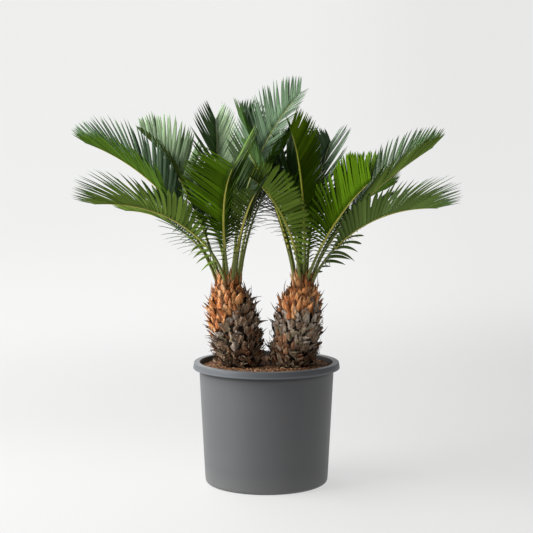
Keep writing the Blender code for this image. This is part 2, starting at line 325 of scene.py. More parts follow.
def plainMaterial(name, colour, roughness, coat=0.0, coatRoughness=.3, specular=.5):
    material = bpy.data.materials.new(name)
    material.use_nodes = True
    feedShader(material, {
        "Base Color": (*colour, 1.0), "Roughness": roughness, "Specular IOR Level": specular,
        "Coat Weight": coat, "Coat Roughness": coatRoughness,
    })
    material.diffuse_color = (*colour, 1.0)
    return material


def grainMaterial(name, stops, scale, stretch, roughness, bump, bumpScale, specular):
    # Colours mixed by stretched noise on Object coordinates, with a finer relief.
    material = plainMaterial(name, stops[0][1], roughness, specular=specular)
    tree = material.node_tree
    sockets = {"Vector": objectPlace(tree), "Scale": stretch}
    place = addNode(tree, "ShaderNodeMapping", sockets).outputs[0]
    ramp = addNode(tree, "ShaderNodeValToRGB", {0: noiseNode(tree, place, scale, 6.0, .65)})
    while len(ramp.color_ramp.elements) < len(stops):
        ramp.color_ramp.elements.new(.5)
    for element, (position, colour) in zip(ramp.color_ramp.elements, stops):
        element.position = position
        element.color = (*colour, 1.0)
    relief = reliefNode(tree, noiseNode(tree, place, bumpScale, 4.0), bump, .001)
    feedShader(material, {"Base Color": ramp.outputs[0], "Normal": relief})
    return material


# Stage: a pale bowl-shaped studio floor that glows as painted light, soft lights from the upper left, the
# camera

stageLook = {
    "floorRadius": 6.0, "cornerRadius": 2.2, "wallHeight": 6.0, "steps": 128,
    "floorColour": (.2, .2, .2), "glowColour": (1.0, 1.0, .995),
    # the paper's glow is a painted light, brighter towards the back wall, with painted shade towards the front
    # and the right: along x or y, from, to, share before, share after
    "glow": .6,
    "paintedGlowSteps": (
        ("Y", -1.8, -.6, .06, 1.0), ("Y", -.2, 1.0, 1.0, .86), ("Y", 1.2, 4.7, 1.0, 1.38),
        ("X", .1, 1.4, 1.0, .92), ("X", 1.9, 3.6, 1.0, .3),
    ),
    "worldColour": (1.0, 1.0, 1.0), "worldStrength": .06,
}
lightLook = {
    # name: (place, aimed at, width, height, watts, colour)
    "key": ((-3.2, -.5, 3.2), (0.0, 0.0, .5), 4.2, 4.2, 350.0, (1.0, .995, .98)),
    "fill": ((-3.0, -1.6, 1.0), (0.0, 0.0, .6), 1.6, 1.6, 26.0, (1.0, .995, .98)),
    "back": ((-1.6, 3.0, 2.9), (0.0, .1, .8), 2.4, 1.6, 80.0, (.98, .99, 1.0)),
}
cameraLook = {"place": (0.0, -3.15, .796), "down": 4.55, "focalPixels": 1258.0, "frame": 533.0, "sensor": 36.0}


def buildStage():
    s = stageLook
    radius, corner, steps = s["floorRadius"], s["cornerRadius"], s["steps"]
    profile = [(1.0, 0.0), *arc(radius - corner, corner, corner, -90, 0, 12), (radius, s["wallHeight"])]
    points = [(0.0, 0.0, 0.0)]
    for r, z in profile:
        points += ringPoints(r, z, steps)
    faces = capFaces(1, steps, 0) + [(a, d, c, b) for a, b, c, d in loftFaces(len(profile), steps, 1)]
    paper = plainMaterial("studio paper", s["floorColour"], .9, specular=0.0)
    tree = paper.node_tree
    axes = addNode(tree, "ShaderNodeSeparateXYZ", {0: objectPlace(tree)}).outputs
    # the paper glows as painted light, shaded by the steps along x and y
    feedShader(paper, {
        "Emission Color": (*s["glowColour"], 1.0),
        "Emission Strength": banded(tree, axes, s["paintedGlowSteps"], s["glow"]),
    })
    floor = meshObject("studio_floor", points, faces, [paper], closed=False)
    floor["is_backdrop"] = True


def buildLights():
    world = bpy.data.worlds.new("studio")
    bpy.context.scene.world = world
    world.use_nodes = True
    feed(world.node_tree, world.node_tree.nodes["Background"], {
        "Color": (*stageLook["worldColour"], 1.0), "Strength": stageLook["worldStrength"],
    })
    for name, (place, aim, width, height, watts, colour) in lightLook.items():
        lamp = bpy.data.lights.new(name, "AREA")
        lamp.shape = "RECTANGLE"
        lamp.size, lamp.size_y = width, height
        lamp.energy = watts
        lamp.color = colour
        obj = linked(name, lamp)
        obj.location = place
        obj.rotation_euler = (Vector(aim) - Vector(place)).to_track_quat("-Z", "Y").to_euler()
        obj.visible_camera = False


def buildCamera():
    data = bpy.data.cameras.new("photo_camera")
    data.sensor_width = cameraLook["sensor"]
    data.lens = cameraLook["focalPixels"] / cameraLook["frame"] * cameraLook["sensor"]
    data.clip_end = 50.0
    camera = linked("photo_camera", data)
    camera.location = cameraLook["place"]
    camera.rotation_euler = (math.radians(90.0 - cameraLook["down"]), 0.0, 0.0)
    bpy.context.scene.camera = camera


buildStage()
buildLights()
buildCamera()
bpy.context.scene.view_settings.view_transform = "Standard"
print("stage: floor, lights and camera")


# Pot: thin moulded wall, rounded foot, a lip that folds out and down

potLook = {
    "height": .306, "baseRadius": .155, "neckRadius": .1705, "wall": .003, "corner": .008, "steps": 240,
    "lipTopRadius": .183, "lipRadius": .185, "lipHeight": .0165, "lipEdge": .0015, "lipRound": .0024,
    # the fine bead round the mouth inside the lip, and where the lip leaves the wall
    "bead": .0022, "beadWidth": .0052, "beadFall": .0011, "neckRound": .002, "wallFrom": .02,
    # the last colour here, that of the inside, is near black as a painted shade
    "colour": (.098, .101, .107), "lipColour": (.092, .101, .114), "paintedShadeInsideColour": (.022, .023, .024),
    "roughness": .46, "rougher": (-.07, .1), "specular": .45,
    # faint blotches and a slightly dusty foot, then the fine grain
    "blotchScale": 9.0, "dust": .16, "dustHeight": .05, "dustColour": (.25, .245, .235),
    "grainScale": 900.0, "grain": .18, "grainDepth": .0004,
    # painted light by height, a painted shadow on the wall under the lip and a painted highlight along the
    # lip's lower edge: axis, from, to, factor before, factor after
    "paintedLightBands": (("Z", .2765, .285, 1.0, .46), ("Z", .2893, .2899, 1.0, 2.85), ("Z", .293, .2955, 1.0, .76)),
}


def potRadius(height):
    share = min(1.0, max(0.0, height / (potLook["height"] - potLook["wall"])))
    return potLook["baseRadius"] + (potLook["neckRadius"] - potLook["baseRadius"]) * share


def potMaterial(name, colour):
    p = potLook
    material = plainMaterial(name, colour, p["roughness"], specular=p["specular"])
    tree = material.node_tree
    place = objectPlace(tree)
    axes = addNode(tree, "ShaderNodeSeparateXYZ", {0: place}).outputs
    cloud = noiseNode(tree, place, p["blotchScale"], 5.0)
    foot = mapped(tree, axes["Z"], 0.0, p["dustHeight"], p["dust"], 0.0, "LINEAR")
    dust = mathNode(tree, "ADD", mathNode(tree, "MULTIPLY", cloud, p["dust"]), foot)
    sockets = {"Factor": dust, 6: (*colour, 1.0), 7: (*p["dustColour"], 1.0)}
    mix = addNode(tree, "ShaderNodeMix", sockets, data_type="RGBA").outputs[2]
    # the bands paint a shadow under the lip and a highlight along its lower edge
    sockets = {0: mix, "Scale": banded(tree, axes, p["paintedLightBands"], 1.0)}
    smooth, rough = (p["roughness"] + step for step in p["rougher"])
    grain = noiseNode(tree, place, p["grainScale"], 2.0)
    feedShader(material, {
        "Base Color": addNode(tree, "ShaderNodeVectorMath", sockets, operation="SCALE").outputs[0],
        "Roughness": mapped(tree, cloud, 0.0, 1.0, smooth, rough, "LINEAR"),
        "Normal": reliefNode(tree, grain, p["grain"], p["grainDepth"]),
    })
    return material


def buildPot():
    p = potLook
    height, wall, corner, edge, lip = p["height"], p["wall"], p["corner"], p["lipEdge"], p["lipRound"]
    neck, lipBottom = height - wall, height - p["lipHeight"]
    insideTop = potRadius(neck) - wall
    baseEdge = p["baseRadius"] - corner
    # from the inside's bottom up over the lip and down to the foot
    profile = [(baseEdge * .5, wall), *arc(baseEdge, corner, corner - wall, -90, 0, 6)]
    profile += [(potRadius(z) - wall, float(z)) for z in np.linspace(p["wallFrom"], neck - .004, 14)]
    profile += arc(insideTop + p["bead"], height - p["bead"], p["bead"], 180, 60, 6)
    profile.append((insideTop + p["beadWidth"], height - p["beadFall"]))
    profile += arc(p["lipTopRadius"] - lip, height - lip, lip, 90, 8, 7)
    profile.append(((p["lipTopRadius"] + p["lipRadius"]) / 2, height - p["lipHeight"] * .5))
    profile += arc(p["lipRadius"] - edge, lipBottom + edge, edge, 0, -180, 6)
    profile.append((p["lipTopRadius"] - wall, neck - .003))
    profile += arc(potRadius(neck) + p["neckRound"], neck - p["neckRound"], p["neckRound"], 90, 180, 4)
    profile += [(potRadius(z), float(z)) for z in np.linspace(neck - .008, p["wallFrom"], 18)]
    profile += [*arc(baseEdge, corner, corner, 0, -90, 8), (baseEdge * .5, 0.0)]
    points = []
    for r, z in profile:
        points += ringPoints(r, z, p["steps"])
    points += [(0.0, 0.0, wall), (0.0, 0.0, 0.0)]
    pot = meshObject("pot_shell", points, closedFaces(len(profile), p["steps"], 2), [
        potMaterial("grey moulded plastic", p["colour"]), potMaterial("lip plastic", p["lipColour"]),
        potMaterial("inside plastic", p["paintedShadeInsideColour"]),
    ])
    for polygon in pot.data.polygons:
        x, y, z = polygon.center
        r = math.hypot(x, y)
        if z > lipBottom - .0004 and r > insideTop + p["beadWidth"]:
            polygon.material_index = 1
        # the inside of the wall takes the near-black colour, a painted shade
        elif z > wall * .5 and r < potRadius(z) - wall * .5:
            polygon.material_index = 2
    pot.data.set_sharp_from_angle(angle=math.radians(40.0))
    stands(pot, ["pot"])


buildPot()
print("stage: pot")


# Soil: an uneven bed of coarse moist potting mix, and loose crumbs on it

soilLook = {
    "level": .2955, "edge": .2925, "levelRadius": .14, "clearance": .0004, "depth": .02,
    "relief": .0022, "reliefs": ((38.0, 1.0), (130.0, .45), (320.0, .22)), "rings": 60, "steps": 180,
    "colours": ((.25, (.022, .011, .006)), (.5, (.09, .048, .025)), (.75, (.2, .115, .062))),
}
crumbLook = {
    "seed": 11, "scatterSeed": 23, "density": 52000.0, "smallest": .0014, "largest": .0056, "kinds": 5,
    "longKinds": 3, "tilt": .9, "smallPower": 2.6, "flattestNormal": .3,
    # name, colour, the random share from which it is used
    "colours": (("peat crumb", (.15, .068, .032), -1.0), ("bark crumb", (.46, .215, .1), .42),
                ("dry crumb", (.56, .34, .195), .84)),
}
soilEdge = potRadius(soilLook["edge"]) - potLook["wall"] - soilLook["clearance"]


def soilHeight(x, y):
    s = soilLook
    fall = max(0.0, (math.hypot(x, y) - s["levelRadius"]) / (soilEdge - s["levelRadius"]))
    z = s["level"] - (s["level"] - s["edge"]) * fall
    for scale, share in s["reliefs"]:
        z += s["relief"] * share * noise.noise(Vector((x, y, .37)) * scale)
    return z


def buildBed():
    steps, rings = soilLook["steps"], soilLook["rings"]
    points = []
    for ring in range(rings):
        circle = ringPoints(soilEdge * math.sqrt((ring + 1) / rings), 0.0, steps, .5 * (ring % 2))
        points += [(x, y, soilHeight(x, y)) for x, y, _ in circle]
    low = soilLook["level"] - soilLook["depth"]
    centre, rim = rings * steps, (rings - 1) * steps
    below = centre + 1
    lowRing = [(x * .999, y * .999, low) for x, y, _ in points[rim:]]
    points += [(0.0, 0.0, soilHeight(0.0, 0.0)), *lowRing, (0.0, 0.0, low)]
    faces = [face[::-1] for face in loftFaces(rings, steps)]
    for step in range(steps):
        after = (step + 1) % steps
        faces.append((centre, step, after))
        faces.append((rim + step, below + step, below + after, rim + after))
        faces.append((below + steps, below + after, below + step))
    earth = grainMaterial("moist potting mix", soilLook["colours"], 120.0, (1, 1, 1), .92, .9, 900.0, .2)
    bed = meshObject("soil_bed", points, faces, [earth])
    stands(bed, ["soil"])
    return bed


def crumbKinds(dice):
    for kind in range(crumbLook["kinds"]):
        ball = bmesh.new()
        bmesh.ops.create_icosphere(ball, subdivisions=1, radius=.5)
        flat = dice.uniform(.45, .9)
        long = dice.uniform(1.0, 1.8) if kind < crumbLook["longKinds"] else 1.0
        for vert in ball.verts:
            vert.co = vert.co * dice.uniform(.72, 1.2)
            vert.co.x *= long
            vert.co.z *= flat
        mesh = bpy.data.meshes.new(f"crumb_{kind}")
        ball.to_mesh(mesh)
        ball.free()
        yield linked(mesh.name, mesh)


def buildCrumbs(bed):
    # Crumbs of bark, peat and a little grit, scattered over the bed.
    c = crumbLook
    shelf = templateCollection("crumbs", list(crumbKinds(random.Random(c["seed"]))))
    tree, mesh = newTree("soil crumbs")
    normal = addNode(tree, "GeometryNodeInputNormal").outputs[0]
    rise = addNode(tree, "ShaderNodeSeparateXYZ", {0: normal}).outputs["Z"]
    scatter = addNode(tree, "GeometryNodeDistributePointsOnFaces", {
        "Mesh": mesh, "Selection": mathNode(tree, "GREATER_THAN", rise, c["flattestNormal"]),
        "Density": c["density"], "Seed": c["scatterSeed"],
    }).outputs["Points"]
    most = (c["tilt"], c["tilt"], 6.283)
    turn = randomNode(tree, {"Max": most, "Seed": c["scatterSeed"]}, "FLOAT_VECTOR")[0]
    # most crumbs are small: the random share is raised to a power
    share = mathNode(tree, "POWER", randomNode(tree, {"Seed": c["scatterSeed"] + 1})[1], c["smallPower"])
    size = mathNode(tree, "MULTIPLY", share, c["largest"] - c["smallest"])
    size = mathNode(tree, "ADD", size, c["smallest"])
    flow = instances(tree, scatter, shelf, {"Rotation": turn, "Scale": size})
    island = addNode(tree, "GeometryNodeInputMeshIsland").outputs["Island Index"]
    toss = randomNode(tree, {"ID": island, "Seed": c["scatterSeed"]})[1]
    for name, rgb, start in c["colours"]:
        stops = [(at, tuple(value * factor for value in rgb)) for at, factor in ((.3, .55), (.7, 1.35))]
        material = grainMaterial(name, stops, 420.0, (1, 1, 1), .9, .7, 1600.0, .2)
        flow = putMaterial(tree, flow, material, mathNode(tree, "GREATER_THAN", toss, start))
    crumbs = grown("soil_crumbs", linked("crumb_source", bed.data), tree, flow)
    clearTemplates(shelf)
    stands(crumbs, ["soil"])
    print("stage: soil,", len(crumbs.data.polygons), "crumb faces")


buildCrumbs(buildBed())


# Fronds: the rule that the part's blades follow, repeated here

headPlace = {"left": (-.095, 0.0, .503), "right": (.091, 0.0, .503)}
frondRule = {
    "seatGap": .0003, "steps": 160,
    # how the leaflets' length grows and fades along the blade
    "grownBy": .36, "growthPower": .85,
    "fadesFrom": .68, "fadePower": 1.25,
    # degrees of the ranks' fold at the foot
    "footFold": -25.0, "foldedBy": .45,
}
# First the blade as the part has it, then its leaflets: bare is the stalk's share, pitch
# their spacing, cover their width against it, open how much thinner they get outwards,
# inner their length near the stalk, foot, middle and end their degrees to the midrib,
# blunt picks the rounded one, left and right are each rank's length, the folds are the
# degrees by which each rank folds up, fade is how much shorter the leaflets are at the
# tip and first their share of the length at the stalk. tone names the colours of both ranks.
# dim is the share up to which its blades are painted dark, a painted shade deep in the crown,
# footTilt the degrees by which they tilt near the stalk, tipFold the degrees by which the ranks fold up more at
# the tip.
frondFields = ("tone", "seatAngle", "seatRadius", "heading", "rise", "droop", "bend", "sweep", "length",
               "roll", "leaflet", "bare", "pitch", "cover", "open", "inner", "foot", "middle", "end",
               "blunt", "left", "right", "foldLeft", "foldRight", "fade", "first", "dim", "footTilt", "tipFold")
# the last fields of a short row, and what most back fronds share
frondDefaults = (None,) * 26 + (0, 42, 0)
backLeaves = (62, 54, 32, 0, 1.08, 1.08, 42, 42, .7, .18)
frondTable = {
    "left": (
        ("fresh", -107, .028, -155, 85, 88, .34, 0, .425, -5, .11,
         .11, .0112, 1.02, .64, .68, 84, 62, 25, 1, 1.35, 1.45, 42, 42, .7, .5, 0, -48),
        ("deep pale", 180, .028, 175, 69, 50, .57, 5, .5, -12, .11,
         .18, .006, 1.3, .32, 1, 60, 52, 28, 0, 1.15, 1.42, 42, 42, .7, .2),
        ("dusk silver", 150, .022, 152, 70, 36, .7, 0, .46, 0, .115,
         .2, .007, 1.45, .15, 1, 60, 54, 32, 0, .6, 1.25, 42, 42, .7, .2, .2),
        ("sage silver", 100, .014, 112, 74, 4, .6, -14, .44, -5, .11,
         .22, .0068, 1.3, 0, 1, 60, 54, 34, 0, 1.12, .98, 42, 42, .6, .1, .52),
        ("vivid", -92, .014, -103, 68, 40, .5, 32, .41, 20, .11,
         .15, .008, 1.25, 0, 1.05, 52, 48, 60, 0, 1.34, 1.2, 36, 35, .28, .12),
        ("pale teal", 40, .014, 26, 89, 41, .54, -20, .525, 10, .115,
         .22, .0062, 1.0, .1, 1, 46, 54, 42, 0, 1.18, .7, 42, -12, .7, .5, .45),
        ("dusk", -65, .024, -68, 81, 70, .42, -14, .37, 15, .105,
         .2, .0085, 1.05, 0, .75, 68, 68, 56, 1, .8, .55, 42, 42, .7, .12),
        ("deep", -22, .026, 10, 87, 34, .5, 6, .4, 0, .105,
         .2, .0116, 1.05, .2, .3, 60, 56, 30, 0, .85, .7, 42, 42, .7, .3, .4, -30),
        ("fresh", 95, .028, 108, 62, 60, .45, 0, .43, 0, .11,
         .2, .0076, 1.15, .1, 1, *backLeaves),
        ("fresh", 130, .029, 138, 60, 62, .42, 0, .42, 0, .11,
         .2, .0076, 1.15, .1, 1, *backLeaves),
        ("sage", 60, .028, 75, 70, 50, .5, 0, .44, 0, .11,
         .3, .0076, 1.15, .1, 1, *backLeaves, .6),
        ("deep", 15, .027, 62, 76, 52, .5, 0, .4, 0, .105,
         .36, .0076, 1.1, .1, .7, *backLeaves, .6),
        ("vivid", -170, .0127, 95, 88, 16, .5, 0, .25, 0, .08,
         .36, .0076, 1.1, .1, .7, *backLeaves, .5),
    ),
    "right": (
        ("sage", -35, .027, -30, 66, 68, .46, 0, .41, 0, .11,
         .12, .0106, 1.26, .64, .68, 60, 56, 27, 1, 1.45, 1.35, 42, 42, .7, .5, 0, -48),
        ("deep fresh", 15, .024, 12, 88, 56, .18, -14, .468, -8, .11,
         .18, .0066, 1.35, .1, 1, 66, 60, 40, 0, 1.46, 1.2, 42, 16, .6, .2),
        ("vivid", -62, .018, -55, 66, 48, .4, -18, .43, 0, .11,
         .15, .0074, 1.62, 0, 1, 60, 52, 58, 1, 1, 1.05, 82, 70, .45, .22),
        ("bright vivid", -40, .006, -100, 90, 48, .68, -14, .42, 12, .11,
         .16, .0072, 1.3, 0, .9, 56, 50, 44, 0, .88, .5, 36, 82, .45, .2),
        ("teal", 60, .02, 54, 87, 43, .55, 15, .4, 0, .11,
         .2, .008, 1.4, .1, 1, 60, 54, 36, 0, 1.1, 1.15, 36, 36, .7, .2, .3),
        ("olive", -106, .027, -128, 90, 71, .4, 8, .38, 0, .11,
         .13, .0104, 1.3, 0, .9, 92, 88, 74, 1, .7, .12, 30, 30, .6, .3, 0, -30, 34),
        ("teal", -148, .025, 175, 90, 32, .3, 0, .385, 0, .105,
         .22, .01, .8, .35, .28, 64, 56, 26, 0, .8, .7, 42, 42, .9, .3, .5, -30),
        ("teal", 160, .02, 140, 84, 22, .12, 8, .465, 0, .11,
         .36, .0066, 1.1, .1, 1, 60, 52, 34, 0, 1.1, 1.1, 42, 42, .7, .2, .7),
        ("sage", 95, .027, 90, 66, 55, .45, 0, .44, 0, .11,
         .2, .0076, 1.3, .1, 1, *backLeaves),
        ("fresh", 130, .026, 112, 74, 56, .45, 0, .42, 0, .11,
         .3, .0076, 1.15, .1, 1, *backLeaves),
        ("deep", 42, .028, 50, 66, 56, .42, 0, .42, 0, .11,
         .2, .0076, 1.3, .1, 1, *backLeaves),
        ("fresh", 110, .01, 118, 86, 20, .5, 0, .32, 0, .09,
         .36, .0076, 1.5, .1, .7, 62, 54, 12, 0, 1.95, 1.95, 42, 42, .7, .18, .6),
        ("vivid", -135, .0113, 150, 88, 16, .5, 0, .25, 0, .08,
         .42, .0076, 1.1, .1, .7, *backLeaves),
    ),
}
fronds = {
    f"{head}_frond_{number:02d}": dict(zip(frondFields, (*row, *frondDefaults[len(row):])), head=head)
    for head, rows in frondTable.items() for number, row in enumerate(rows, 1)
}


def nodesOf(names):
    return [node for node in frame["nodes"] if node.removesuffix("_tip") in names]


def directionAt(frond, share):
    power = math.log(.5) / math.log(frond["bend"])
    slope = np.radians(frond["rise"] - frond["droop"] * np.power(share, power))
    heading = np.radians(frond["heading"] + frond["sweep"] * share)
    tangent = np.stack((np.cos(heading) * np.cos(slope), np.sin(heading) * np.cos(slope), np.sin(slope)), -1)
    side = np.stack((-np.sin(heading), np.cos(heading), np.zeros_like(heading)), -1)
    return tangent, side


def midribPath(frond):
    steps = frondRule["steps"]
    seat = math.radians(frond["seatAngle"])
    out = np.array((math.cos(seat), math.sin(seat), 0.0))
    start = np.array(headPlace[frond["head"]]) + frond["seatRadius"] * out
    start[2] += frondRule["seatGap"]
    tangent, _ = directionAt(frond, (np.arange(steps) + .5) / steps)
    return start + np.vstack((np.zeros(3), np.cumsum(tangent * frond["length"] / steps, axis=0)))


def frameAt(frond, share):
    # Tangent, side and upper face of the midrib at each share, turned by the frond's roll.
    share = np.atleast_1d(np.asarray(share, dtype=float))
    tangent, side = directionAt(frond, share)
    face = np.cross(tangent, side)
    roll = math.radians(frond["roll"])
    turnedSide = side * math.cos(roll) + np.cross(tangent, side) * math.sin(roll)
    turnedFace = face * math.cos(roll) + np.cross(tangent, face) * math.sin(roll)
    return tangent, turnedSide, turnedFace


def pointAt(path, share):
    at = np.clip(np.atleast_1d(share), 0.0, 1.0) * (len(path) - 1)
    low = np.minimum(at.astype(int), len(path) - 2)
    part = (at - low)[:, None]
    return path[low] * (1 - part) + path[low + 1] * part


def leafletReach(frond, place):
    r = frondRule
    grownTo = np.minimum(1.0, np.maximum(place, 0.0) / r["grownBy"]) ** r["growthPower"]
    faded = np.maximum(0.0, (place - r["fadesFrom"]) / (1.0 - r["fadesFrom"])) ** r["fadePower"]
    inner = frond["inner"] + (1.0 - frond["inner"]) * smoothStep((place - .45) / .25)
    first = frond["first"] + (1.0 - frond["first"]) * grownTo
    return frond["leaflet"] * inner * first * (1.0 - frond["fade"] * faded)


def leafletAngle(frond, place):
    foot, middle, end = frond["foot"], frond["middle"], frond["end"]
    late = middle + .8 * (end - middle)
    return math.radians(np.interp(place, (0.0, .45, .75, 1.0), (foot, middle, late, end)))


def foldAngle(frond, hand, place):
    blend = smoothStep(place / frondRule["foldedBy"])
    fold = frond["foldLeft"] if hand > 0 else frond["foldRight"]
    return math.radians(frondRule["footFold"] + (fold - frondRule["footFold"]) * float(blend))


# Midribs: a woolly rust foot, a green stalk and a yellow midrib, grooved on its upper face

midribLook = {
    "stations": 90, "sides": 12, "sunk": .01, "crowded": 1.15, "tip": .002, "seed": 31,
    # its half widths and depths at these shares of its length
    "shares": (0, .03, .08, .16, .35, .65, .9, 1),
    "halfWidths": (.0072, .0062, .0046, .0038, .0031, .0022, .0012, .0005),
    "depths": (.004, .0042, .0036, .0033, .0028, .0021, .0012, .0005),
    # the section's radii, from its right side over the grooved face; the groove starts there
    "ridge": (1.0, .92, .66, 1.05, .66, .92, 1.0, 1.0, 1.02, 1.04, 1.02, 1.0), "groovedFrom": .1,
    # the foot is rough this far, and by so much
    "roughTo": .12, "roughness": .12,
    # where each colour ends, along the rib, and how raggedly by row and by face
    "colourEnds": (.018, .035, .24, .93), "ragged": (.012, .02), "greenSides": (1, 2, 3, 4),
}
midribColours = {
    "woolly stalk foot": ((.2, .085, .03), .9),
    "rust stalk": ((.17, .115, .03), .6),
    "green stalk": ((.16, .19, .028), .45),
    "yellow midrib": ((.42, .4, .05), .42),
    "green midrib": ((.14, .19, .03), .42),
    "midrib tip": ((.08, .14, .018), .42),
}


def buildMidribs(head):
    m = midribLook
    dice = random.Random(m["seed"] + len(head))
    names = [name for name in fronds if fronds[name]["head"] == head]
    sides = m["sides"]
    angles = np.radians(np.arange(sides) * 360.0 / sides)
    across, up, ridge = np.cos(angles), np.sin(angles), np.array(m["ridge"])
    share = np.linspace(0.0, 1.0, m["stations"]) ** m["crowded"]
    half, deep = (np.interp(share, m["shares"], m[key]) for key in ("halfWidths", "depths"))
    grooved = smoothStep((share - m["groovedFrom"]) / .12)[:, None]
    shape = 1.0 + (ridge[None, :] - 1.0) * grooved
    points, faces, looks = [], [], []
    for name in names:
        tangent, side, face = frameAt(fronds[name], share)
        centre = pointAt(midribPath(fronds[name]), share)
        rough = np.array([[dice.uniform(-1, 1) for _ in range(sides)] for _ in share])
        wobble = 1.0 + m["roughness"] * rough * (share < m["roughTo"])[:, None]
        ring = (centre[:, None, :] + side[:, None, :] * (half[:, None] * across * wobble)[:, :, None]
                + face[:, None, :] * (deep[:, None] * up * shape * wobble)[:, :, None])
        below = tangent[0] * m["sunk"]
        ring = np.vstack((ring[:1] - below, ring))
        base = len(points)
        points += [tuple(p) for p in ring.reshape(-1, 3)]
        tip = len(points)
        points += [tuple(centre[-1] + tangent[-1] * m["tip"]), tuple(centre[0] - below)]
        faces += loftFaces(len(ring), sides, base)
        for row in range(len(ring) - 1):
            at = share[max(0, row - 1)] + dice.uniform(-m["ragged"][0], m["ragged"][0])
            for column in range(sides):
                spot = at + dice.uniform(-m["ragged"][1], m["ragged"][1])
                zone = sum(spot >= end for end in m["colourEnds"])
                looks.append(zone if zone < 3 else 5 if zone > 3 else 3 + (column in m["greenSides"]))
        faces += capFaces(tip - sides, sides, tip) + capFaces(base, sides, tip + 1)
        looks += [5] * sides + [0] * sides
    materials = [plainMaterial(label, *look) for label, look in midribColours.items()]
    obj = meshObject(f"midribs_{head}", points, faces, materials)
    obj.data.polygons.foreach_set("material_index", np.array(looks, dtype=np.int32))
    stands(obj, nodesOf(names))


for headName in headPlace:
    buildMidribs(headName)
print("stage: midribs")


# Leaflets: one keeled blade, repeated down both sides of each midrib

leafletLook = {
    "segments": 8, "crowded": .88, "stem": .62, "fullFrom": .12, "thickness": .75,
    # where the pointed and the rounded blade start to taper, and two powers of the taper
    "tapers": ((.52, 1.7, .95), (.74, 2.0, .66)),
    "spacings": ((0, 1.5), (.12, 1.35), (.28, 1.05), (.7, .95), (1, .72)),
    "covers": ((0, .56), (.1, .62), (.2, .8), (.32, 1.0), (.8, .95), (1, .55)),
    "lengthJitter": .035, "widthJitter": .06, "angleJitter": 1.2, "foldJitter": 1.8, "spacingJitter": .05,
    "louver": 10.0, "sag": .55, "footSag": 6.5, "sweep": .1, "closer": .45, "twist": .06, "seed": 5,
    # steps along the rank, from and over: thinner, louvers, straighter, swept, folded at the tip
    "opens": (.42, .25), "louvers": (0.0, .35), "stiffens": (0.0, .4), "sweeps": (.15, .5),
    "tipFolds": (.55, .35), "lastShare": .992, "rootOut": .55, "rootUp": .25, "roundedFrom": .18,
    "sags": (.7, 1.3), "swept": (.5, 1.4), "spines": .045, "spineLength": (.55, 5.0), "spineWidth": .6,
    # shades to pick from, beyond this share and before it, the darker ones near the stalk a painted shade, and
    # that of a folded tip, a painted highlight
    "litFrom": .35, "lit": (1, 2, 2, 3), "unlit": (1, 1, 1, 2), "paintedHighlightFrom": .6, "paintedHighlightShade": 3,
    # roughness, coat, its roughness and specular of the undersides
    "underGloss": (.8, 0.0, .3, .02),
}
leafletRing = ((-.5, -.1), (-.28, .04), (0.0, -.05), (.28, .04), (.5, -.1), (0.0, -.25))
# the same four values of the upper faces of most tones
leafGloss = (.42, .1, .34, .4)
# some tones carry painted light: pale and silver a painted sheen, dusk a painted shade, olive a painted light
# on its upper faces
toneLook = {
    # upper colour, underside colour, gloss of the upper faces
    "vivid": ((.085, .165, .012), (.066, .138, .004), (.6, 0.0, .4, .08)),
    "bright": ((.06, .125, .018), (.12, .215, .008), (.55, 0.0, .4, .14)),
    "fresh": ((.06, .125, .028), (.15, .235, .038), leafGloss),
    "sage": ((.07, .135, .04), (.12, .19, .044), leafGloss),
    "deep": ((.042, .1, .022), (.082, .165, .016), leafGloss),
    "teal": ((.085, .145, .075), (.085, .165, .05), (.6, 0.0, .3, .16)),
    # pale: the leaves' own grey-green, partly a painted sheen
    "pale": ((.13, .215, .12), (.13, .21, .125), (.55, 0.0, .4, .14)),
    # silver: a painted sheen over the green of the upper faces
    "silver": ((.27, .39, .215), (.11, .19, .05), (.55, .04, .4, .25)),
    # dusk: darkened as painted shade for fronds in shadow
    "dusk": ((.026, .054, .015), (.042, .068, .01), leafGloss),
    # olive: its upper colour lightened as painted light on a tip in shade
    "olive": ((.165, .25, .045), (.15, .235, .034), (.6, 0.0, .4, .1)),
}
# the first four shades vary the tone, the last two are a painted shade for blades deep in the crown
toneAndPaintedShadeFactors = ((.52, .52, .52), (.8, .8, .8), (1.08, 1.08, 1.08), (1.36, 1.36, 1.36),
                (.19, .23, .1), (.28, .35, .15))


def leafletTemplate(name, tapersFrom, bulge, tipPower):
    look, segments, sides = leafletLook, leafletLook["segments"], len(leafletRing)
    points, along = [], []
    for index in range(segments):
        u = (index / segments) ** look["crowded"]
        width = look["stem"] + (1 - look["stem"]) * float(smoothStep(u / look["fullFrom"]))
        taper = max(0.0, (u - tapersFrom) / (1 - tapersFrom))
        width *= (1.0 - taper ** bulge) ** tipPower
        points += [(u, y * width, z * look["thickness"] * (.5 + .5 * width)) for y, z in leafletRing]
        along += [u] * sides
    tip = len(points)
    points.append((1.0, 0.0, -.03))
    obj = meshObject(name, points, closedFaces(segments, sides, 1))
    mesh = obj.data
    below, half, sharp = [], [], []
    for polygon in mesh.polygons:
        columns = {v % sides for v in polygon.vertices if v < tip}
        below.append(columns <= {4, 5, 0} and len(columns) > 1 and 5 in columns)
        half.append(int(columns <= {0, 1, 2} or columns == {0, 5}))
    for edge in mesh.edges:
        a, b = edge.vertices
        sharp.append(max(a, b) < tip and a % sides == b % sides and a % sides in (0, 4))
    writeAttribute(mesh, "along", "POINT", along + [1.0])
    writeAttribute(mesh, "underside", "FACE", below)
    writeAttribute(mesh, "half", "FACE", half)
    writeAttribute(mesh, "sharp_edge", "EDGE", sharp)
    return obj


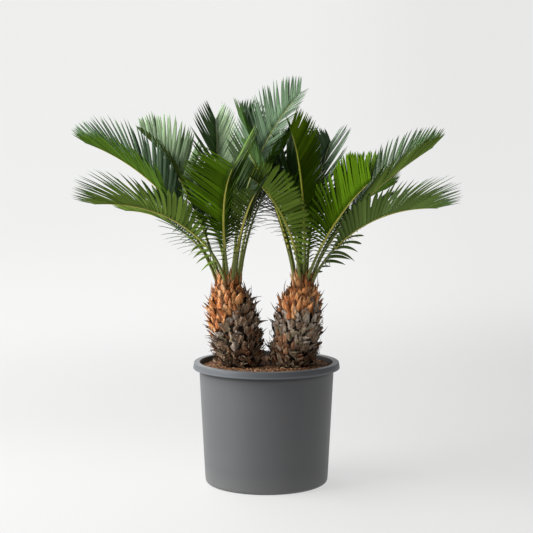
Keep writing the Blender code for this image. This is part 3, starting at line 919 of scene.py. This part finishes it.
def leafletSprays(tone, rows, shelf, upper, under):
    tree, points = newTree(f"leaflets {tone}")
    flow = seated(tree, points, shelf, leafletLook["twist"], leafletLook["seed"], (1, 0, 0))
    # each blade curves by its own bend, more towards its tip
    arch = mathNode(tree, "POWER", named(tree, "along"), 2.0)
    sockets = {0: named(tree, "bend"), "Scale": arch}
    offset = addNode(tree, "ShaderNodeVectorMath", sockets, operation="SCALE").outputs[0]
    flow = addNode(tree, "GeometryNodeSetPosition", {0: flow, "Offset": offset}).outputs[0]
    # one half of each blade takes the next darker shade, a painted shade along its keel
    shade, half = named(tree, "shade"), named(tree, "half")
    shade = mathNode(tree, "SUBTRACT", shade, half)
    flow = painted(tree, flow, shade, upper)
    flow = painted(tree, flow, shade, under, named(tree, "underside"))
    return grown(f"leaflets_{tone}", seatObject("leaflet_roots", rows), tree, flow)


def leafletStep(place, key):
    start, over = leafletLook[key]
    return float(smoothStep((place - start) / over))


def leafletRoots(frond, hand, dice):
    # The rows of one rank's leaflets, as seatObject wants them.
    look = leafletLook
    path = midribPath(frond)
    rows = []
    bare, length = frond["bare"], frond["length"]
    rank = frond["left"] if hand > 0 else frond["right"]
    at = (bare - look["spines"]) * length + dice.uniform(0.0, .004)
    run, shade = 0, 2
    while at < length * look["lastShare"]:
        share = at / length
        place = (share - bare) / (1.0 - bare)
        known = max(0.0, place)
        thinner = 1.0 - frond["open"] * leafletStep(place, "opens")
        spacing = frond["pitch"] * float(profileValue(look["spacings"], known)) * thinner ** look["closer"]
        tangent, side, face = (v[0] for v in frameAt(frond, share))
        reach = float(leafletReach(frond, known)) * rank * (1 + dice.uniform(-1, 1) * look["lengthJitter"])
        width = frond["pitch"] * float(profileValue(look["covers"], known)) * frond["cover"] * thinner
        width *= dice.uniform(1 - look["widthJitter"], 1 + look["widthJitter"])
        if place < 0.0:
            reach *= look["spineLength"][0] + look["spineLength"][1] * place
            width *= look["spineWidth"]
        angle = float(leafletAngle(frond, known)) + math.radians(dice.gauss(0, look["angleJitter"]))
        fold = foldAngle(frond, hand, known) + math.radians(dice.gauss(0, look["foldJitter"]))
        fold += math.radians(frond["tipFold"]) * leafletStep(place, "tipFolds")
        outward = side * hand * math.cos(fold) + face * math.sin(fold)
        aim = unit(tangent * math.cos(angle) + outward * math.sin(angle))
        normal = np.cross(tangent, aim)
        normal = unit(normal if normal @ face > 0 else -normal)
        # blades overlap a little, like louvers
        tilt = math.radians(look["louver"] + frond["footTilt"] * (1 - leafletStep(place, "louvers"))) * hand
        normal = unit(normal * math.cos(tilt) + np.cross(aim, normal) * math.sin(tilt))
        half = float(np.interp(share, midribLook["shares"], midribLook["halfWidths"]))
        root = pointAt(path, share)[0] + side * hand * half * look["rootOut"] + face * half * look["rootUp"]
        soft = look["sag"] + look["footSag"] * (1 - leafletStep(place, "stiffens"))
        sag = soft * reach * reach * dice.uniform(*look["sags"])
        forward = look["sweep"] * leafletStep(place, "sweeps") * dice.uniform(*look["swept"])
        bend = np.array((0.0, 0.0, -sag)) + tangent * reach * forward
        if run <= 0:
            run = dice.randint(1, 2)
            # blades near the stalk pick darker shades, a painted shade
            shade = dice.choice(look["lit"] if place > look["litFrom"] else look["unlit"])
            # blades deep in the crown take the darkest shade, a painted shade
            shade = len(toneAndPaintedShadeFactors) - 1 if place < frond["dim"] else shade
            # a folded tip takes the lightest shade, a painted highlight
            shade = look["paintedHighlightShade"] if frond["tipFold"] and place > look["paintedHighlightFrom"] else shade
        run -= 1
        wide = thinner > 1.0 - .4 * frond["open"] - 1e-6
        rounded = int(frond["blunt"] and wide and place > look["roundedFrom"])
        rows.append((root, aim, np.cross(normal, aim), normal, (reach, width, width), rounded, shade, bend))
        at += spacing * dice.uniform(1 - look["spacingJitter"], 1 + look["spacingJitter"])
    return rows


def shadedMaterials(label, colour, gloss):
    return [plainMaterial(f"{label} {index}", [min(1.0, c * f) for c, f in zip(colour, factors)], *gloss)
            for index, factors in enumerate(toneAndPaintedShadeFactors)]


def buildLeaflets():
    labels = ("leaflet_0_pointed", "leaflet_1_rounded")
    kinds = [leafletTemplate(label, *taper) for label, taper in zip(labels, leafletLook["tapers"])]
    shelf = templateCollection("leaflet kinds", kinds)
    for tone, (upperColour, underColour, gloss) in toneLook.items():
        dice = random.Random(leafletLook["seed"] * 101 + sum(ord(letter) for letter in tone))
        rows, names = [], []
        for name, frond in fronds.items():
            tones = frond["tone"].split()
            for hand, rankTone in ((1, tones[0]), (-1, tones[-1])):
                if rankTone == tone:
                    rows += leafletRoots(frond, hand, dice)
                    names.append(name)
        sprays = leafletSprays(tone, rows, shelf, shadedMaterials(f"{tone} upper", upperColour, gloss),
                               shadedMaterials(f"{tone} under", underColour, leafletLook["underGloss"]))
        stands(sprays, nodesOf(names))
        print("stage: leaflets", tone, len(rows), "blades,", len(sprays.data.polygons), "faces")
    clearTemplates(shelf)


buildLeaflets()


# Trunks: a rough core, woody scales, rust felt scales, thorns and fibres

trunkLook = {
    "base": .2958, "top": .503,
    # radii at these shares of the height
    "shares": (0, .1, .24, .48, .7, .84, .94, 1),
    "left": {
        "foot": -.066, "head": -.095, "seed": 41,
        "radii": (.057, .0625, .065, .0635, .0595, .052, .04, .0345),
    },
    "right": {
        "foot": .0635, "head": .091, "seed": 57,
        "radii": (.06, .0635, .064, .0615, .0555, .046, .0365, .032),
    },
    "coreInset": .013, "coreSteps": 72, "coreRings": 48, "coreRelief": .0022,
    "kinds": 12, "twist": .15, "collarScales": 76, "fibres": 260, "hairs": 46, "thorns": 60,
    # the degrees round the trunk and the shares of its height from which its scales are felt
    "feltFrom": {
        "left": ((0, .86), (60, .64), (120, .5), (180, .38), (225, .44), (250, .52), (275, .62),
                 (300, .78), (330, .9), (360, .86)),
        "right": ((0, .68), (60, .56), (120, .54), (180, .66), (220, .68), (270, .66), (310, .7), (360, .68)),
    },
}
# width, length, thickness, sunk into the skin, area of skin
scaleSizes = {"wood": (.022, .0295, .012, .016, .00029), "felt": (.0165, .034, .008, .01, .000165)}
# share of the height, degrees round, length, width, degrees outward, shade
thornTable = {
    "left": ((.94, 4, .032, .003, 10, 0), (.91, -12, .018, .0042, 26, 1), (.84, -2, .021, .0032, 36, 1),
             (.98, 184, .018, .003, 22, 0), (.88, 186, .019, .0032, 36, 0), (.77, 190, .016, .0032, 42, 0),
             (.66, 184, .016, .0032, 46, 0), (.56, 188, .016, .0034, 48, 0), (.73, 6, .016, .0034, 46, 1),
             (.6, -6, .016, .0036, 50, 1), (.45, 178, .014, .0036, 55, 1), (.38, 2, .014, .0036, 55, 1)),
    "right": ((.99, 182, .024, .003, 12, 0), (.86, 187, .031, .0034, 38, 1), (.66, 184, .02, .004, 58, 1),
              (.9, -4, .037, .0028, 26, 0), (.8, 0, .02, .003, 40, 1), (.66, -5, .02, .0032, 46, 1),
              (.5, 182, .016, .0036, 55, 1), (.38, 0, .017, .0034, 58, 1), (.22, 184, .015, .0036, 62, 1)),
}

golden = math.pi * (3.0 - math.sqrt(5.0))


def trunkCentre(side, share):
    foot, head = trunkLook[side]["foot"], trunkLook[side]["head"]
    return foot + (head - foot) * share, trunkLook["base"] + (trunkLook["top"] - trunkLook["base"]) * share


def trunkRadius(side, share):
    return np.interp(share, trunkLook["shares"], trunkLook[side]["radii"])


def trunkPlace(side, share, azimuth, inset=0.0):
    x, z = trunkCentre(side, share)
    r = trunkRadius(side, share) - inset
    return np.array((x + r * math.cos(azimuth), r * math.sin(azimuth), z))


def directions(azimuth):
    outward = np.array((math.cos(azimuth), math.sin(azimuth), 0.0))
    return outward, np.array((-outward[1], outward[0], 0.0))


def trunkFrame(side, share, azimuth):
    # A place on the trunk's skin, and its outward, sideways and upward directions.
    around = directions(azimuth)[1]
    above, below = (trunkPlace(side, s, azimuth) for s in (min(1.0, share + .02), max(0.0, share - .02)))
    up = unit(above - below)
    return trunkPlace(side, share, azimuth), (unit(np.cross(around, up)), around, up)


def crownFrame(side, reach, azimuth, below):
    # The same for a place between the stalks.
    outward, around = directions(azimuth)
    root = np.array((trunkLook[side]["head"], 0.0, trunkLook["top"] - below)) + outward * reach
    return root, (outward, around, np.array((0.0, 0.0, 1.0)))


scaleForms = {
    # widths and depths along the scale, stations, sides, curl outward, roughness
    "blunt": (((0, .44), (.2, .52), (.5, .53), (.75, .44), (.92, .34), (1, .26)),
              ((0, .55), (.3, .6), (.6, .44), (.85, .3), (1, .24)), 8, 10, (.1, .9), .055),
    "claw": (((0, .42), (.2, .5), (.42, .46), (.62, .32), (.82, .17), (1, .05)),
             ((0, .55), (.3, .62), (.6, .42), (.85, .2), (1, .08)), 9, 10, (.5, 2.1), .045),
    "felt": (((0, .42), (.2, .5), (.45, .46), (.7, .3), (.88, .15), (1, .03)),
             ((0, .5), (.3, .54), (.6, .36), (.85, .2), (1, .07)), 9, 10, (-.2, 1.1), .045),
    "thorn": (((0, .5), (.4, .42), (.75, .22), (1, .04)),
              ((0, .5), (.4, .42), (.75, .22), (1, .04)), 8, 6, (-2.6, .6), .02),
}
scaleRow = {"wood": ("blunt", "claw", "blunt"), "felt": ("felt",), "thorn": ("thorn",)}


def scaleShape(form, dice):
    # Points, faces and zones of one scale: x across, y outward, z along.
    widths, depths, stations, sides, curls, rough = scaleForms[form]
    blunt = form == "blunt"
    curl, lean = dice.uniform(*curls), dice.uniform(-.22, .22)
    ridges = [dice.uniform(.74, 1.18) for _ in range(sides)]
    points, zones = [], []
    for row in range(stations):
        u = row / (stations - 1)
        half, deep = profileValue(widths, u), profileValue(depths, u)
        for column in range(sides):
            a = 2 * math.pi * column / sides
            ridge = 1.0 if form == "thorn" else ridges[column]
            x = half * math.cos(a) * (1 + dice.uniform(-rough, rough) * 2.4)
            # the inner face is hollow, the outer one crowned
            y = deep * math.sin(a) * ridge * (.3 if math.sin(a) < 0 else 1.0)
            ragged = dice.uniform(-.16, .08) if u == 1 and blunt else 0.0
            points.append((x + lean * u * u, y + curl * u ** 2.6 + dice.uniform(-rough, rough), u + ragged))
    points.append((lean, curl - .25, .86) if blunt else (lean, curl, 1.02))
    faces = closedFaces(stations, sides, 1)
    # zones: 1 for the inner face and a blunt end, 2 for the last rows of the outer one
    for face in faces:
        inner = min(i % sides for i in face[:2]) >= sides // 2
        outerZone = 2 if face[0] // sides >= stations - 3 else 0
        zones.append({3: int(blunt), 4: 1 if inner else outerZone}.get(len(face), 0))
    return points, faces, zones


def scaleKinds(kind, count, seed):
    dice = random.Random(seed)
    made = []
    for index in range(count):
        points, faces, zones = scaleShape(scaleRow[kind][index % len(scaleRow[kind])], dice)
        obj = meshObject(f"{kind}_{index:02d}", points, faces)
        writeAttribute(obj.data, "zone", "FACE", zones)
        made.append(obj)
    return templateCollection(f"{kind} kinds", made)


barkTable = {
    # scale, stretch, relief and its scale, then each material's name and three colours
    "rust": (160.0, (1, 1, .4), .9, 900.0,
             ("rust bark", (.06, .022, .009), (.18, .07, .028), (.36, .16, .07))),
    # the core is near black, partly its dark skin, partly painted shade in the gaps between the scales
    "core": (90.0, (1, 1, 1), .9, 500.0,
             ("dark bark", (.008, .005, .004), (.02, .013, .009), (.04, .026, .018))),
    # the inner faces of the scales are darker, partly their own colour, partly painted shade
    "hollow": (160.0, (1, 1, 1), .6, 600.0,
               ("felt hollow", (.05, .018, .008), (.13, .048, .02), (.26, .11, .05)),
               ("scale hollow", (.012, .007, .005), (.028, .016, .01), (.06, .034, .022))),
    "wood": (140.0, (1.3, 1.3, .35), .9, 700.0,
             ("weathered scale", (.1, .068, .05), (.5, .4, .315), (.86, .76, .64)),
             ("brown scale", (.055, .033, .022), (.31, .205, .137), (.6, .435, .31)),
             ("olive scale", (.075, .056, .034), (.3, .242, .155), (.57, .485, .35)),
             ("rust wood scale", (.11, .042, .02), (.391, .178, .09), (.644, .38, .218))),
    "woodTip": (140.0, (1.3, 1.3, .35), .9, 700.0,
                ("weathered tip", (.18, .14, .112), (.473, .396, .33), (.814, .726, .638)),
                ("brown tip", (.09, .058, .04), (.365, .257, .176), (.702, .54, .405)),
                ("olive tip", (.12, .095, .06), (.332, .273, .185), (.585, .507, .38)),
                ("rust wood tip", (.18, .08, .04), (.44, .24, .13), (.65, .43, .29))),
    "felt": (230.0, (1.5, 1.5, .25), 1.0, 1500.0,
             ("orange felt", (.37, .105, .03), (.96, .4, .14), (1.00, .73, .4)),
             ("rust felt", (.16, .045, .015), (.6, .2, .065), (.92, .45, .2)),
             ("tan felt", (.35, .14, .05), (.92, .48, .22), (1.00, .8, .5))),
    "feltTip": (230.0, (1.5, 1.5, .25), 1.0, 1500.0,
                ("orange felt tip", (.34, .12, .04), (.74, .34, .13), (.93, .6, .32)),
                ("rust felt tip", (.07, .026, .012), (.2, .085, .038), (.42, .22, .12)),
                ("tan felt tip", (.34, .18, .09), (.64, .41, .25), (.84, .64, .47))),
    "thorn": (200.0, (1, 1, .4), .4, 900.0,
              ("rust thorn", (.12, .045, .018), (.3, .13, .055), (.5, .27, .14)),
              ("dark thorn", (.03, .018, .012), (.09, .055, .036), (.22, .15, .105)),
              ("straw fibre", (.18, .13, .075), (.42, .33, .205), (.68, .58, .42)),
              ("rust hair", (.2, .08, .028), (.44, .2, .085), (.7, .4, .21))),
}
barkMaterials = {
    group: [grainMaterial(name, tuple(zip((.3, .5, .7), colours)), scale, stretch, .88, bump, bumpScale, .15)
            for name, *colours in rows]
    for group, (scale, stretch, bump, bumpScale, *rows) in barkTable.items()
}


def feltFrom(side, azimuth):
    return float(profileValue(trunkLook["feltFrom"][side], math.degrees(azimuth) % 360.0))


def buildCore(side):
    t, steps, rings = trunkLook, trunkLook["coreSteps"], trunkLook["coreRings"]
    points = []
    for ring in range(rings):
        share = ring / (rings - 1)
        for step in range(steps):
            inset = t["coreInset"] * (1 - .45 * share)
            p = Vector(trunkPlace(side, share, 2 * math.pi * step / steps, inset))
            bump = noise.fractal(p * 90.0, .9, 2.0, 3) * t["coreRelief"]
            centre = Vector((trunkCentre(side, share)[0], 0.0, p.z))
            points.append(tuple(p + (p - centre).normalized() * bump))
    points += [(t[side]["foot"], 0.0, t["base"] - .004), (t[side]["head"], 0.0, t["top"] + .006)]
    materials = barkMaterials["core"] + barkMaterials["rust"]
    core = meshObject(f"trunk_core_{side}", points, closedFaces(rings, steps, 2), materials)
    for polygon in core.data.polygons:
        x, y, z = polygon.center
        share = (z - t["base"]) / (t["top"] - t["base"])
        azimuth = math.atan2(y, x - trunkCentre(side, share)[0])
        polygon.material_index = int(share > feltFrom(side, azimuth))
    stands(core, [f"trunk_{side}"])


def leanedSeat(root, axes, lean, sway, size, kind, shade):
    # One scale's seat, leaned outward and swayed sideways by degrees, as seatObject wants it.
    normal, around, up = axes
    lean, sway = math.radians(lean), math.radians(sway)
    along = unit(up * math.cos(lean) + normal * math.sin(lean))
    along = unit(along * math.cos(sway) + around * math.sin(sway))
    out = unit(normal - along * (normal @ along))
    return (root, np.cross(out, along), out, along, size, kind, shade)


def feltScale(share, dice):
    width, length, thick, *_ = scaleSizes["felt"]
    lean = dice.uniform(12, 46) - 8 * share
    width *= dice.uniform(.7, 1.2) * (1.12 - .3 * share)
    length *= dice.uniform(.6, 1.25) * (1 - .45 * float(smoothStep((share - .72) / .25)))
    thick *= dice.uniform(.8, 1.2)
    shade = dice.choice((0, 0, 0, 1, 1, 2))
    return lean, dice.gauss(0, 17), (width, thick, length), shade


def woodScale(side, share, facing, low, dice):
    width, length, thick, *_ = scaleSizes["wood"]
    lean = dice.uniform(10, 40) + 8 * low
    width *= dice.uniform(.5, 1.15) * (1 - .42 * low)
    length *= dice.uniform(.8, 1.2) * (1 - .46 * low)
    thick *= dice.uniform(.75, 1.25) * (1 - .45 * low)
    # shades by height, then by the side that the photo shows lighter or redder
    shade = dice.choice((0, 0, 1, 1, 3) if share > .5 else (0, 0, 0, 1, 1, 2))
    if low > .4:
        shade = dice.choice((1, 1, 1, 2, 3))
    if side == "left" and (facing > 300 or facing < 60):
        shade = dice.choice((1, 1, 0, 3))
    if side == "right" and .1 < share < .38 and 195 < facing < 250:
        shade = dice.choice((3, 3, 1))
    return lean, dice.gauss(0, 16 + 12 * low), (width, thick, length), shade


def scaleSeats(side, dice):
    # Golden-angle rows of leaf bases up the trunk: wood low down, felt near the crown.
    height, kinds = trunkLook["top"] - trunkLook["base"], trunkLook["kinds"]
    share, azimuth = .004, 0.0
    seats = {"wood": [], "felt": []}
    while share < 1.0:
        azimuth = (azimuth + golden + dice.gauss(0, .09)) % (2 * math.pi)
        kind = "felt" if share + dice.uniform(-.06, .06) > feltFrom(side, azimuth) else "wood"
        here, axes = trunkFrame(side, share, azimuth)
        low = 1.0 - float(smoothStep(share / .4))
        if kind == "felt":
            lean, sway, size, shade = feltScale(share, dice)
        else:
            lean, sway, size, shade = woodScale(side, share, math.degrees(azimuth), low, dice)
        sink, area = scaleSizes[kind][3:]
        root = here - axes[0] * sink - axes[2] * .004
        seats[kind].append(leanedSeat(root, axes, lean, sway, size, dice.randrange(kinds), shade))
        area *= 1.0 if kind == "felt" else 1 - .66 * low
        share += area / (2 * math.pi * float(trunkRadius(side, min(1.0, share)))) / height
    # a collar of tall felt scales stands between the stalks
    for index in range(trunkLook["collarScales"]):
        reach = .003 + .022 * math.sqrt((index + .5) / trunkLook["collarScales"])
        root, axes = crownFrame(side, reach, index * golden + .4, .014)
        length = dice.uniform(.03, .064) * (1.2 - 18.0 * reach)
        seats["felt"].append(leanedSeat(
            root, axes, dice.uniform(2, 16), dice.gauss(0, 7), (dice.uniform(.006, .011), .005, length),
            dice.randrange(kinds), dice.choice((0, 0, 1, 2))))
    # the long scale on the front of the right trunk
    if side == "right":
        here, axes = trunkFrame(side, .6, math.radians(-115))
        root = here - axes[0] * .004
        seats["felt"].append(leanedSeat(root, axes, 9, -24, (.0145, .008, .066), 4, 1))
    return seats


def thornSeats(side, dice):
    # Named thorns on the outline, then others, fibres over the scales, hairs round the stalks.
    t, kinds = trunkLook, trunkLook["kinds"]
    rows = []
    for share, facing, length, width, lean, shade in thornTable[side]:
        here, axes = trunkFrame(side, share, math.radians(facing))
        rows.append(leanedSeat(here - axes[0] * .003, axes, lean, dice.gauss(0, 6),
                               (width * 2.2, width * 1.2, length + .011), dice.randrange(kinds), shade))
    for _ in range(t["thorns"]):
        share, azimuth = dice.uniform(.08, .95), dice.uniform(0.0, 2 * math.pi)
        here, axes = trunkFrame(side, share, azimuth)
        width = dice.uniform(.0055, .0085)
        shades = (0, 0, 1) if share > feltFrom(side, azimuth) - .05 else (1, 1, 0, 2)
        rows.append(leanedSeat(
            here - axes[0] * .006, axes, dice.uniform(26, 62), dice.gauss(0, 16),
            (width, width * .6, dice.uniform(.016, .026)), dice.randrange(kinds), dice.choice(shades)))
    for _ in range(t["fibres"]):
        share, azimuth = dice.uniform(0.0, 1.0) ** 1.4 * .92, dice.uniform(0.0, 2 * math.pi)
        here, axes = trunkFrame(side, share, azimuth)
        sway = dice.gauss(0, 32 + 40 * (1.0 - float(smoothStep(share / .4))))
        width = dice.uniform(.0012, .0032)
        shade = dice.choice((3, 3, 0, 1) if share > feltFrom(side, azimuth) - .08 else (1, 1, 2, 2, 0))
        rows.append(leanedSeat(
            here + axes[0] * dice.uniform(-.001, .005), axes, dice.uniform(-6, 12), sway,
            (width, width * .6, dice.uniform(.009, .022)), dice.randrange(kinds), shade))
    for _ in range(t["hairs"]):
        azimuth, reach = dice.uniform(0.0, 2 * math.pi), dice.uniform(.01, .034)
        root, axes = crownFrame(side, reach, azimuth, .006)
        width = dice.uniform(.0005, .001)
        rows.append(leanedSeat(
            root, axes, dice.uniform(-15, 28), dice.gauss(0, 20), (width, width, dice.uniform(.012, .026)),
            dice.randrange(kinds), dice.choice((3, 3, 0))))
    return rows


def buildScales(side):
    seed = trunkLook[side]["seed"]
    dice = random.Random(seed)
    seats = scaleSeats(side, dice)
    seats["thorn"] = thornSeats(side, dice)
    # the inner faces' materials, partly painted shade
    felt, wood = barkMaterials["hollow"]
    for (kind, rows), inner in zip(seats.items(), (wood, felt, barkMaterials["thorn"][1])):
        shelf = scaleKinds(kind, trunkLook["kinds"], seed + len(kind))
        tree, points = newTree(f"{kind} scales {side}")
        flow = seated(tree, points, shelf, trunkLook["twist"], seed, (0, 0, 1))
        shade, zone = named(tree, "shade"), named(tree, "zone")
        flow = painted(tree, flow, shade, barkMaterials[kind])
        flow = painted(tree, flow, shade, barkMaterials.get(kind + "Tip", []), equalTo(tree, zone, 2))
        # the inner faces and blunt ends take a darker material, partly painted shade
        flow = putMaterial(tree, flow, inner, equalTo(tree, zone, 1))
        scales = grown(f"{kind}_scales_{side}", seatObject(f"{kind}_seats", rows), tree, flow)
        clearTemplates(shelf)
        scales.data.set_sharp_from_angle(angle=math.radians(42.0))
        stands(scales, [f"trunk_{side}"])
        print("stage:", kind, "scales", side, len(rows))


for sideName in ("left", "right"):
    buildCore(sideName)
    buildScales(sideName)

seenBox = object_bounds()
print("size:", [[round(v, 4) for v in corner] for corner in (*cadBox, *seenBox)])
